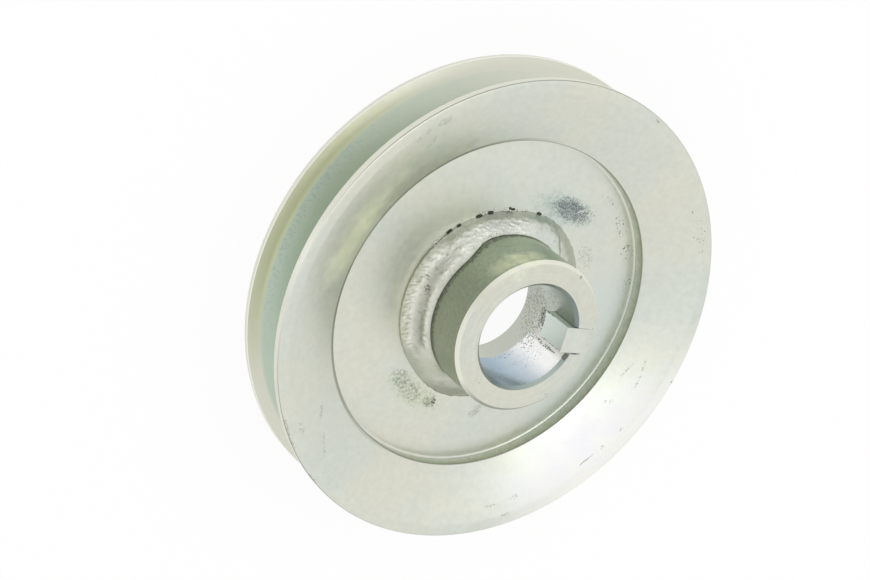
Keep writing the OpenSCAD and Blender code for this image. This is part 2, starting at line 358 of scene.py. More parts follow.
def find_side(tree, place, azimuth, reach):
    """How far a point lies towards a direction, in degrees: 1 at that side of a circle of this radius."""
    way = Vector((math.cos(math.radians(azimuth)), math.sin(math.radians(azimuth)), 0)) / (reach * MM)
    return add_node(tree, "VectorMath", {0: place, 1: way}, operation="DOT_PRODUCT")


def find_facing(tree):
    """How far a face looks up: 1 on level faces, 0 on upright ones, -1 on faces that look down."""
    normal = add_node(tree, "NewGeometry").node.outputs["Normal"]
    return add_node(tree, "SeparateXYZ", {0: normal}).node.outputs[2]


def find_turn(tree, place):
    """Direction from the axis, in radians either way from the side across from the key."""
    back = add_node(tree, "VectorMath", {0: place, "Scale": -1.0}, operation="SCALE")
    part = add_node(tree, "SeparateXYZ", {0: back}).node.outputs
    return add_node(tree, "Math", {0: part[1], 1: part[0]}, operation="ARCTAN2")


def lay_casts(tree, place, casts):
    """Tint that changes with the direction from the axis, between the given (degrees, colour) pairs."""
    share = add_node(tree, "MapRange", {
        "Value": find_turn(tree, place), "From Min": -math.pi, "From Max": math.pi})
    ramp = add_node(tree, "ValToRGB", {0: share})
    stops = ramp.node.color_ramp.elements
    for i, (way, cast) in enumerate(casts):
        stop = stops[i] if i < 2 else stops.new(1.0)
        stop.position = way / 360
        stop.color = linear(cast)
    return ramp


def close_coat(tree, paint, rough, height, bump):
    """Close a plated finish: a metal shader with a fine relief, bump millimetres deep."""
    relief = add_node(tree, "Bump", {"Strength": 1.0, "Distance": bump * MM, "Height": height})
    metal = add_node(tree, "BsdfPrincipled", {
        "Base Color": paint, "Metallic": 1.0, "Roughness": rough, "Normal": relief})
    add_node(tree, "OutputMaterial", {"Surface": metal})


def set_rough(tree, base, mottle, dull):
    """Roughness: clean plating, a little uneven, and duller where it is worn."""
    uneven = add_node(tree, "Math", {0: mottle, 1: 0.12, 2: base - 0.06}, operation="MULTIPLY_ADD")
    return add_node(tree, "Math", {0: dull, 1: 0.22, 2: uneven}, operation="MULTIPLY_ADD")


# Tints of the rims' outer corners by direction, painted shade, but for one side of the front rim that has a
# painted highlight
REAR_CORNER_SHADE = ((110, "#b8bab0"), (150, "#cccec1"))
FRONT_CORNER_LIGHT_AND_SHADE = ((135, "#aaac9f"), (168, "#f4f5ea"), (212, "#a4a699"))
# Middles, in degrees, of the stretches where the groove's lip has a painted yellow reflection, where its
# wall has a painted blue-green reflection, and where the lip has a painted highlight beside the key
YELLOW_REFLECTION = 165
GREEN_REFLECTION = 185
LIP_HIGHLIGHT = 325

# What the coats of a pressed sheet are laid on: its tree and coordinates, the distance from the axis, how
# far a face looks into the groove, how far it looks up or down, and whether it is a rounded corner
Sheet = namedtuple("Sheet", "tree place radius inward tilt rounded settings")


def coat_groove(sheet, paint):
    """Plate the groove: on one side a painted reflection, blue-green on its wall and yellower on its lip,
    with a painted highlight on the crease between them, and specks where the belt has rubbed. Outside the
    groove, paint a highlight on the lip beside the key."""
    tree, place, radius, settings = sheet.tree, sheet.place, sheet.radius, sheet.settings
    outside = add_node(tree, "MapRange", {
        "Value": radius, "From Min": (STEP_R + 1.2) * MM, "From Max": (STEP_R + 2.6) * MM})
    in_groove = add_node(tree, "Math", {0: sheet.inward, 1: outside}, operation="MULTIPLY")
    on_lip = add_node(tree, "MapRange", {
        "Value": radius, "From Min": (LIP_R - 0.4) * MM, "From Max": (LIP_R + 0.2) * MM})
    # Painted reflections on one side: a yellow lip and a blue-green wall
    yellow_reflection = add_node(tree, "MapRange", {
        "Value": find_side(tree, place, YELLOW_REFLECTION, RIM_R), "From Min": 0.72, "From Max": 0.93})
    green_reflection = add_node(tree, "MapRange", {
        "Value": find_side(tree, place, GREEN_REFLECTION, RIM_R), "From Min": -0.2, "From Max": 0.9})
    wall_tint = add_node(tree, "Mix", {
        0: green_reflection, 6: settings.pale, 7: settings.wall}, data_type="RGBA")
    lip_tint = add_node(tree, "Mix", {0: yellow_reflection, 6: settings.pale, 7: settings.lip}, data_type="RGBA")
    groove_tint = add_node(tree, "Mix", {0: on_lip, 6: wall_tint, 7: lip_tint}, data_type="RGBA")
    # Painted highlight on the crease, on the side of the yellow reflection
    off_crease = add_node(tree, "Math", {0: radius, 1: LIP_R * MM}, operation="SUBTRACT")
    way_off = add_node(tree, "Math", {0: off_crease}, operation="ABSOLUTE")
    on_crease = add_node(tree, "MapRange", {
        "Value": way_off, "From Min": 0.1 * MM, "From Max": 0.8 * MM,
        "To Min": 0.45, "To Max": 0.0})
    crease = add_node(tree, "Math", {0: on_crease, 1: yellow_reflection}, operation="MULTIPLY")
    creased = add_node(tree, "Mix", {0: crease, 6: groove_tint, 7: settings.crease}, data_type="RGBA")
    specks = add_node(tree, "TexNoise", {
        "Vector": place, "Scale": per_mm(SPECK_GRAIN), "Detail": 3.0, "Roughness": 0.65})
    worn_band = add_node(tree, "MapRange", {
        "Value": radius, "From Min": (LIP_R - 5.5) * MM, "From Max": (LIP_R - 1.2) * MM,
        "To Min": -0.16, "To Max": 0.02})
    speck_level = add_node(tree, "Math", {0: specks, 1: worn_band}, operation="ADD")
    speckled = add_node(tree, "MapRange", {
        "Value": speck_level, "From Min": 0.5, "From Max": 0.66, "To Max": 0.55})
    off_lip = add_node(tree, "Math", {0: radius, 1: (LIP_R - 0.45) * MM}, operation="LESS_THAN")
    on_wall = add_node(tree, "Math", {0: speckled, 1: off_lip}, operation="MULTIPLY")
    speck = add_node(tree, "Math", {0: on_wall, 1: yellow_reflection}, operation="MULTIPLY")
    groove_coat = add_node(tree, "Mix", {0: speck, 6: creased, 7: settings.speck}, data_type="RGBA")
    # Painted highlight on the lip beside the key
    polished = add_node(tree, "MapRange", {
        "Value": find_side(tree, place, LIP_HIGHLIGHT, RIM_R), "From Min": 0.76, "From Max": 0.95,
        "To Max": on_lip})
    face_paint = add_node(tree, "Mix", {0: polished, 6: paint, 7: settings.polished}, data_type="RGBA")
    return add_node(tree, "Mix", {0: in_groove, 6: face_paint, 7: groove_coat}, data_type="RGBA")


def wear_rims(sheet, paint, corner_light_and_shade):
    """Band the rim brighter where it is rubbed, also as a painted highlight; paint shade and highlight by
    direction on its outer corner, and a painted highlight on its corner at the groove.
    """
    tree, place, radius, settings = sheet.tree, sheet.place, sheet.radius, sheet.settings
    rim_edge = add_node(tree, "MapRange", {
        "Value": radius, "From Min": (RIM_R - 0.07) * MM, "From Max": (RIM_R - 0.03) * MM})
    # The outer corners get painted light and shade by direction; the mouth gets a painted highlight
    painted_corner_light = lay_casts(tree, place, corner_light_and_shade)
    band_tint = add_node(tree, "Mix", {
        0: 0.6, 6: settings.rubbed, 7: painted_corner_light}, data_type="RGBA", blend_type="LIGHTEN")
    paint = add_node(tree, "Mix", {0: rim_edge, 6: paint, 7: band_tint}, data_type="RGBA")
    at_rim = add_node(tree, "Math", {0: radius, 1: (RIM_R - 0.4) * MM}, operation="GREATER_THAN")
    thin = add_node(tree, "Math", {0: sheet.rounded, 1: at_rim}, operation="MULTIPLY")
    mouth = add_node(tree, "Math", {0: thin, 1: sheet.inward}, operation="MULTIPLY")
    outer_corner = add_node(tree, "Math", {0: thin, 1: mouth}, operation="SUBTRACT")
    paint = add_node(tree, "Mix", {0: outer_corner, 6: paint, 7: painted_corner_light}, data_type="RGBA")
    return add_node(tree, "Mix", {0: mouth, 6: paint, 7: settings.polished}, data_type="RGBA")


def wear_step(sheet, paint, dull, mottle):
    """Shear the edge of the step, torn towards its upper corner, and paint shade on that corner and on a
    strip of the face beside it on one side.
    """
    tree, place, radius, settings = sheet.tree, sheet.place, sheet.radius, sheet.settings
    upright = add_node(tree, "MapRange", {
        "Value": sheet.tilt, "From Min": 0.3, "From Max": 0.6, "To Min": 1.0, "To Max": 0.0})
    inside = add_node(tree, "Math", {0: radius, 1: (STEP_R + 0.36) * MM}, operation="LESS_THAN")
    sheared = add_node(tree, "Math", {0: upright, 1: inside}, operation="MULTIPLY")
    high = add_node(tree, "SeparateXYZ", {0: place}).node.outputs[2]
    torn = add_node(tree, "Math", {0: mottle, 1: 3.0 * MM, 2: high}, operation="MULTIPLY_ADD")
    broken = add_node(tree, "MapRange", {
        "Value": torn, "From Min": (WEB_TOP + 2.2) * MM, "From Max": (WEB_TOP + 4.4) * MM})
    cut = add_node(tree, "Mix", {0: broken, 6: settings.edge, 7: settings.torn}, data_type="RGBA")
    paint = add_node(tree, "Mix", {0: sheared, 6: paint, 7: cut}, data_type="RGBA")
    dull = add_node(tree, "Math", {0: dull, 1: sheared}, operation="MAXIMUM")
    # Painted shade on the step's top corner, and on one side on a strip of the face beside it
    top_corner = add_node(tree, "Math", {0: high, 1: (WEB_TOP + 2.6) * MM}, operation="GREATER_THAN")
    at_step = add_node(tree, "Math", {0: top_corner, 1: inside}, operation="MULTIPLY")
    corner = add_node(tree, "Math", {0: sheet.rounded, 1: at_step}, operation="MULTIPLY")
    on_left = add_node(tree, "MapRange", {
        "Value": find_side(tree, place, YELLOW_REFLECTION, RIM_R), "From Min": 0.1, "From Max": 0.45})
    beside = add_node(tree, "MapRange", {
        "Value": radius, "From Min": (STEP_R + 0.6) * MM, "From Max": (STEP_R + 0.9) * MM,
        "To Min": on_left, "To Max": 0.0})
    strip = add_node(tree, "Math", {0: beside, 1: top_corner}, operation="MULTIPLY")
    step_shade = add_node(tree, "Math", {0: corner, 1: strip}, operation="MAXIMUM")
    paint = add_node(tree, "Mix", {0: step_shade, 6: paint, 7: settings.corner}, data_type="RGBA")
    return paint, dull


def nick_rim(sheet, paint):
    """Open small pits along the rim."""
    tree, place, radius, settings = sheet.tree, sheet.place, sheet.radius, sheet.settings
    nicks = add_node(tree, "TexNoise", {
        "Vector": place, "Scale": per_mm(NICK_GRAIN), "Detail": 2.0, "Roughness": 0.6})
    near_rim = add_node(tree, "MapRange", {
        "Value": radius, "From Min": (RIM_R - 0.9) * MM, "From Max": (RIM_R - 0.2) * MM,
        "To Min": -0.4, "To Max": 0.0})
    nicked = add_node(tree, "Math", {0: nicks, 1: near_rim}, operation="ADD")
    nick = add_node(tree, "MapRange", {
        "Value": nicked, "From Min": 0.66, "From Max": 0.76, "To Max": 0.4})
    return add_node(tree, "Mix", {0: nick, 6: paint, 7: settings.pit}, data_type="RGBA")


def pressed_zinc(name, settings, marks, groove_side, corner_light_and_shade):
    """Bright zinc on pressed steel sheet: satin and pale, with clouds, rub lines round the pressing and
    pits. In the groove the lip is yellower and the wall blue-green on one side, as painted reflections;
    groove_side is +1 where that wall faces up and -1 where it faces down. Rims and step get painted
    highlights and shade."""
    material, tree, place = new_finish(name)
    radius = find_radius(tree, place)
    paint, mottle = lay_clouds(tree, place, settings)
    rings = lay_rings(tree, radius, place, width=0.45, length=24)
    dull = add_node(tree, "MapRange", {
        "Value": rings, "From Min": 0.56, "From Max": 0.72, "To Min": 0.0, "To Max": 0.35})

    facing = find_facing(tree)
    inward = add_node(tree, "MapRange", {
        "Value": facing, "From Min": 0.05 * groove_side, "From Max": 0.35 * groove_side})
    tilt = add_node(tree, "Math", {0: facing}, operation="ABSOLUTE")
    rounded = add_node(tree, "Math", {0: tilt, 1: 0.5, 2: 0.38}, operation="COMPARE")
    sheet = Sheet(tree, place, radius, inward, tilt, rounded, settings)
    paint = coat_groove(sheet, paint)
    paint = wear_rims(sheet, paint, corner_light_and_shade)
    paint, dull = wear_step(sheet, paint, dull, mottle)
    for mark in marks:
        paint, dull = add_mark(tree, place, paint, dull, mark)
    paint = nick_rim(sheet, paint)
    height = add_node(tree, "Math", {0: dull, 1: -0.5, 2: mottle}, operation="MULTIPLY_ADD")
    rough = set_rough(tree, settings.rough, mottle, dull)
    close_coat(tree, paint, rough, height, bump=0.02)
    return material


# Directions, in degrees, of the hub's side with painted shade and of its underside as the pulley is seen,
# where the nose's chamfer has painted shade
HUB_SHADED_SIDE = 205
HUB_UNDER = 290
# Tints of the bore's wall ahead of the rear stretch by direction, painted light: grey beside the key,
# painted shade across from it, a painted blue reflection below and a painted highlight where the wall faces
# the light
BORE_PAINTED_LIGHT = (
    (0, "#c4c8bc"), (60, "#ccd5ce"), (230, "#76878c"), (275, "#9fb4c2"), (302, "#ccd7e0"),
    (320, "#fefefd"), (332, "#fefefc"), (341, "#d0d2c8"))
# Tints of the chamfer round the bore by direction: painted shade beside the key and below, pale across from
# it
CHAMFER_LIGHT_AND_SHADE = (
    (50, "#87948f"), (110, "#d6d8cc"), (215, "#d6d8cc"), (245, "#7f8d8c"), (325, "#b9c6bf"),
    (352, "#87948f"))


def coat_side(tree, place, high, blotches, on_side, paint):
    """Plate the hub's side: olive and mottled, with painted shade to one side and a darker band just above
    the weld bead.
    """
    # Painted shade: the side darkens towards one direction
    shaded = add_node(tree, "MapRange", {
        "Value": find_side(tree, place, HUB_SHADED_SIDE, HUB_R), "From Min": -0.45, "From Max": 0.85})
    side = add_node(tree, "Mix", {
        0: shaded, 6: linear(HUB_SIDE_LIT_AND_SHADED[0]), 7: linear(HUB_SIDE_LIT_AND_SHADED[1])}, data_type="RGBA")
    patches = add_node(tree, "MapRange", {
        "Value": blotches, "From Min": 0.3, "From Max": 0.7, "To Min": 0.86, "To Max": 1.12})
    mottled = add_node(tree, "VectorMath", {0: side, "Scale": patches}, operation="SCALE")
    paint = add_node(tree, "Mix", {0: on_side, 6: paint, 7: mottled}, data_type="RGBA")

    turn = add_node(tree, "Math", {0: find_turn(tree, place)}, operation="ABSOLUTE")
    bead_top = add_node(tree, "MapRange", {
        "Value": turn, "From Min": math.radians(BAND_TURNS[0]), "From Max": math.radians(BAND_TURNS[1]),
        "To Min": (WEB_TOP + BEAD_HIGH) * MM, "To Max": (WEB_TOP + BEAD_LOW) * MM})
    above = add_node(tree, "Math", {0: high, 1: bead_top}, operation="SUBTRACT")
    fade = add_node(tree, "MapRange", {
        "Value": above, "From Min": 0.6 * MM, "From Max": 2.2 * MM, "To Min": 0.1, "To Max": -0.3})
    band_level = add_node(tree, "Math", {0: blotches, 1: fade}, operation="ADD")
    banded = add_node(tree, "MapRange", {
        "Value": band_level, "From Min": 0.42, "From Max": 0.6, "To Max": 0.7})
    dark = add_node(tree, "Math", {0: banded, 1: on_side}, operation="MULTIPLY")
    return add_node(tree, "Mix", {0: dark, 6: paint, 7: linear(HUB_BEAD_BAND)}, data_type="RGBA")


def coat_bore(tree, place, high, blotches, inner, paint):
    """Plate the bore's wall: grey at its rear, and ahead of a jagged line painted with reflection,
    highlight and shade by direction.
    """
    jagged = add_node(tree, "Math", {0: blotches, 1: 1.5 * MM, 2: high}, operation="MULTIPLY_ADD")
    ahead = add_node(tree, "MapRange", {
        "Value": jagged, "From Min": (BORE_REAR + 0.4) * MM, "From Max": (BORE_REAR + 1.2) * MM})
    # Ahead of the line the wall is painted with reflection, highlight and shade by direction
    wall = add_node(tree, "Mix", {
        0: ahead, 6: linear(BORE_BACK), 7: lay_casts(tree, place, BORE_PAINTED_LIGHT)}, data_type="RGBA")
    return add_node(tree, "Mix", {0: inner, 6: paint, 7: wall}, data_type="RGBA")


def unroll(tree, place, radius):
    """Coordinates of the bore's wall laid out flat: direction in degrees, height and radius."""
    part = add_node(tree, "SeparateXYZ", {0: place}).node.outputs
    azimuth = add_node(tree, "Math", {0: part[1], 1: part[0]}, operation="ARCTAN2")
    degrees = add_node(tree, "Math", {0: azimuth, 1: math.degrees(1) * MM}, operation="MULTIPLY")
    return add_node(tree, "CombineXYZ", {0: degrees, 1: part[2], 2: radius})


def turned_zinc(name, settings, marks, bore_marks):
    """Bright zinc on turned steel: satin and slightly warm, with fine tool lines round the face and the
    side. The side is olive with painted shade to one side; inside the bore the coat is thin, speckled and
    blue towards one side, with painted reflection, highlight and shade by direction."""
    material, tree, place = new_finish(name)
    radius = find_radius(tree, place)
    paint, mottle = lay_clouds(tree, place, settings)
    high = add_node(tree, "SeparateXYZ", {0: place}).node.outputs[2]
    tool_way = add_node(tree, "Math", {0: radius, 1: high}, operation="ADD")
    lines = lay_rings(tree, tool_way, place, width=0.3, length=30)
    dull = add_node(tree, "MapRange", {
        "Value": lines, "From Min": 0.55, "From Max": 0.72, "To Min": 0.0, "To Max": 0.4})
    streaks = add_node(tree, "MapRange", {
        "Value": lines, "From Min": 0.38, "From Max": 0.64, "To Min": 0.985, "To Max": 0.935})
    paint = add_node(tree, "VectorMath", {0: paint, "Scale": streaks}, operation="SCALE")

    tilt = add_node(tree, "Math", {0: find_facing(tree)}, operation="ABSOLUTE")
    upright = add_node(tree, "MapRange", {
        "Value": tilt, "From Min": 0.2, "From Max": 0.5, "To Min": 1.0, "To Max": 0.0})
    outer = add_node(tree, "Math", {0: radius, 1: (HUB_R + BORE_R) / 2 * MM}, operation="GREATER_THAN")
    on_side = add_node(tree, "Math", {0: upright, 1: outer}, operation="MULTIPLY")
    inner = add_node(tree, "Math", {0: upright, 1: on_side}, operation="SUBTRACT")
    blotches = add_node(tree, "TexNoise", {
        "Vector": place, "Scale": per_mm(BLOTCH_GRAIN), "Detail": 3.0, "Roughness": 0.65})
    paint = coat_side(tree, place, high, blotches, on_side, paint)
    paint = coat_bore(tree, place, high, blotches, inner, paint)

    slant = add_node(tree, "Math", {0: tilt, 1: 0.7, 2: 0.12}, operation="COMPARE")
    # The nose's chamfer has painted shade on the underside as the pulley is seen
    below = find_side(tree, place, HUB_UNDER, HUB_R)
    painted_shade = add_node(tree, "MapRange", {"Value": below, "From Min": 0.3, "From Max": 0.7})
    nose = add_node(tree, "Mix", {
        0: painted_shade, 6: linear(NOSE_CHAMFER[0]), 7: linear(NOSE_CHAMFER[1])}, data_type="RGBA")
    chamfer = add_node(tree, "Mix", {
        0: outer, 6: lay_casts(tree, place, CHAMFER_LIGHT_AND_SHADE), 7: nose}, data_type="RGBA")
    paint = add_node(tree, "Mix", {0: slant, 6: paint, 7: chamfer}, data_type="RGBA")
    for mark in marks:
        paint, dull = add_mark(tree, place, paint, dull, mark)
    unrolled = unroll(tree, place, radius)
    for mark in bore_marks:
        paint, dull = add_mark(tree, place, paint, dull, mark, unrolled)
    height = add_node(tree, "Math", {0: lines, 1: 0.6, 2: mottle}, operation="MULTIPLY_ADD")
    rough = set_rough(tree, settings.rough, mottle, dull)
    lit = add_node(tree, "MapRange", {
        "Value": below, "From Min": 0.25 * BORE_R / HUB_R, "From Max": 0.6 * BORE_R / HUB_R})
    smooth = add_node(tree, "Math", {0: lit, 1: inner}, operation="MULTIPLY")
    bore_rough = add_node(tree, "Math", {0: smooth, 1: -0.14, 2: rough}, operation="MULTIPLY_ADD")
    close_coat(tree, paint, bore_rough, height, bump=0.02)
    return material


def drawn_zinc(name, settings, marks):
    """Bright zinc on drawn key steel: smooth, faintly green sides with lines along the bar."""
    material, tree, place = new_finish(name)
    paint, mottle = lay_clouds(tree, place, settings)
    drawn = add_node(tree, "Mapping", {"Vector": place, "Scale": [per_mm(size) for size in KEY_GRAIN]})
    lines = add_node(tree, "TexNoise", {"Vector": drawn, "Scale": 1.0, "Detail": 2.0, "Roughness": 0.6})
    dull = add_node(tree, "MapRange", {
        "Value": lines, "From Min": 0.5, "From Max": 0.75, "To Max": 0.5})
    long_side = add_node(tree, "Math", {0: find_facing(tree), 1: 0.5}, operation="LESS_THAN")
    paint = add_node(tree, "Mix", {0: long_side, 6: paint, 7: linear(KEY_SIDE)}, data_type="RGBA")
    for mark in marks:
        paint, dull = add_mark(tree, place, paint, dull, mark)
    rough = set_rough(tree, settings.rough, mottle, dull)
    close_coat(tree, paint, rough, lines, bump=0.015)
    return material


def weld_zinc(name, settings, marks):
    """Bright zinc on a weld bead: white and frosted where it is streaked, painted nearly white as a
    highlight, grey and smoother between, with seams of painted shade."""
    material, tree, place = new_finish(name)
    paint, mottle = lay_clouds(tree, place, settings)
    frost_highlight = add_node(tree, "Attribute", attribute_name="frost_highlight").node.outputs["Fac"]
    seam_shade = add_node(tree, "Attribute", attribute_name="seam_shade").node.outputs["Fac"]
    grain = add_node(tree, "TexNoise", {
        "Vector": place, "Scale": per_mm(FROST_GRAIN), "Detail": 3.0, "Roughness": 0.7})
    # Frost is painted nearly white as a highlight; the seams are painted shade
    pale = add_node(tree, "Mix", {0: frost_highlight, 6: paint, 7: linear(WELD_FROST_HIGHLIGHT)}, data_type="RGBA")
    painted = add_node(tree, "Mix", {0: seam_shade, 6: pale, 7: linear(WELD_SHADE)}, data_type="RGBA")
    dull = frost_highlight
    for mark in marks:
        painted, dull = add_mark(tree, place, painted, dull, mark)
    height = add_node(tree, "Math", {0: grain, 1: frost_highlight}, operation="MULTIPLY")
    rough = set_rough(tree, settings.rough, mottle, dull)
    close_coat(tree, painted, rough, height, bump=0.1)
    return material


def weld_slag(name):
    """Weld slag: a black glassy crust, dull and pitted."""
    material, tree, place = new_finish(name)
    crust = add_node(tree, "TexNoise", {
        "Vector": place, "Scale": per_mm(CRUST_GRAIN), "Detail": 3.0, "Roughness": 0.6})
    shade = add_node(tree, "Mix", {
        0: crust, 6: linear(SLAG_CRUST[0]), 7: linear(SLAG_CRUST[1])}, data_type="RGBA")
    relief = add_node(tree, "Bump", {"Distance": 0.1 * MM, "Height": crust})
    glass = add_node(tree, "BsdfPrincipled", {"Base Color": shade, "Roughness": 0.5, "Normal": relief})
    add_node(tree, "OutputMaterial", {"Surface": glass})
    return material


def spatter_zinc(name):
    """Bright zinc on weld spatter: small frosted beads, nearly white."""
    material = bpy.data.materials.new(name)
    tree = new_tree(material)
    metal = add_node(tree, "BsdfPrincipled", {
        "Base Color": linear(SPATTER), "Metallic": 1.0, "Roughness": 0.45})
    add_node(tree, "OutputMaterial", {"Surface": metal})
    return material


def spin_ring(points, segments):
    """Closed ring about the axis, from the (radius, height) points of its section in millimetres."""
    shape = bmesh.new()
    section = [shape.verts.new((r * MM, 0, z * MM)) for r, z in points]
    edges = [shape.edges.new((section[i], section[i - 1])) for i in range(len(section))]
    bmesh.ops.spin(shape, geom=section + edges, axis=(0, 0, 1), cent=(0, 0, 0), dvec=(0, 0, 0),
                   angle=2 * math.pi, steps=segments, use_merge=True)
    bmesh.ops.remove_doubles(shape, verts=shape.verts, dist=MERGE)
    bmesh.ops.recalc_face_normals(shape, faces=shape.faces)
    return shape


def add_piece(context, name, shape, material):
    """Turn a bmesh into a smooth piece of the pulley that rides with it."""
    mesh = bpy.data.meshes.new(name)
    shape.to_mesh(mesh)
    shape.free()
    mesh.shade_smooth()
    mesh.materials.append(material)
    piece = bpy.data.objects.new(name, mesh)
    context.scene.collection.objects.link(piece)
    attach(piece, "root")
    return piece


# Zones of the bead, in degrees: the middle of the zone, and the turns to either side at which it starts
# to fade and ends
WIDE = (340, 75, 118)
HIGH = (182, 42, 70)
ROPED = (178, 27, 38)
STREAKED = (120, 28, 46)
SMOOTH_TOE = (245, 30, 50)
ROUGH = (130, 72, 90)
# The stretch at the bead's lower side, as the pulley is seen, gets painted shade
UNDER_SHADE = (272, 12, 34)
PALE = (228, 12, 27)
GREY_TOP = (104, 6, 15)
# The bead's end: its direction at the toe, how far it leads at the hub, and the turn over which it closes
LAP = 64
LAP_LEAD = 18
LAP_TURN = 6
# Swell of the bead's face at its start and at its end, and the turns along it between which it grows
SWELL = (0.4, 1.0)
SWELL_TURNS = (165, 295)
# Patterns on the bead: their grain along and across it, in millimetres, and the layer of noise that they
# are cut from
LUMPS = (3.2, 2.2, 7)
KNOBS = (1.0, 0.8, 17)
PATCHES = (1.1, 0.9, 9)
FINE = (0.5, 0.4, 13)
STREAKS = (2.6, 0.42, 2)
BREAKS = (0.9, 1.0, 21)
TOE = (1.6, 1.0, 11)
RIPPLE_REACH = 1.6
RIPPLE_LAYER = 4


def ease(value, low, high):
    share = min(max((value - low) / (high - low), 0), 1)
    return share * share * (3 - 2 * share)


def in_zone(azimuth, zone):
    """1 round the middle of a zone of the bead, fading to 0 at its ends."""
    turn = abs((azimuth - zone[0] + 180) % 360 - 180)
    return 1 - ease(turn, zone[1], zone[2])


def near(value, middle, width):
    """1 at the middle, falling off like a bell."""
    return math.exp(-((value - middle) / width) ** 2)


def pattern(along, across, grain):
    """Level of a pattern on the bead, from -1 to 1."""
    return noise.noise(Vector((along / grain[0], across / grain[1], grain[2])))


def bead_swell(azimuth, across):
    """How far the bead's face swells past a straight fillet, in millimetres. Its end closes in a round
    nose."""
    laid = (LAP - LAP_LEAD * across - azimuth) % 360
    nose = math.sqrt(1 - (max(laid - 360 + LAP_TURN, 0) / LAP_TURN) ** 2)
    return SWELL[0] + (SWELL[1] - SWELL[0]) * ease(laid, *SWELL_TURNS) * nose


class PULLEY_OT_plates(bpy.types.Operator):
    """Plate the rear plate and the front flange"""
    bl_idname = "pulley.plates"
    bl_label = "Plate the pressings"

    def execute(self, context):
        settings = context.scene.pulley_plating
        dress("rear_plate", pressed_zinc("pressed_zinc_web", settings, WEB_MARKS, 1, REAR_CORNER_SHADE))
        dress("front_flange", pressed_zinc("pressed_zinc_flange", settings, FLANGE_MARKS, -1, FRONT_CORNER_LIGHT_AND_SHADE))
        return {"FINISHED"}


class PULLEY_OT_hub(bpy.types.Operator):
    """Plate the turned hub and its drive key"""
    bl_idname = "pulley.hub"
    bl_label = "Plate the hub"

    def execute(self, context):
        settings = context.scene.pulley_plating
        dress("hub", turned_zinc("turned_zinc_hub", settings, HUB_MARKS, BORE_MARKS))
        dress("drive_key", drawn_zinc("drawn_zinc_key", settings, KEY_MARKS))
        return {"FINISHED"}


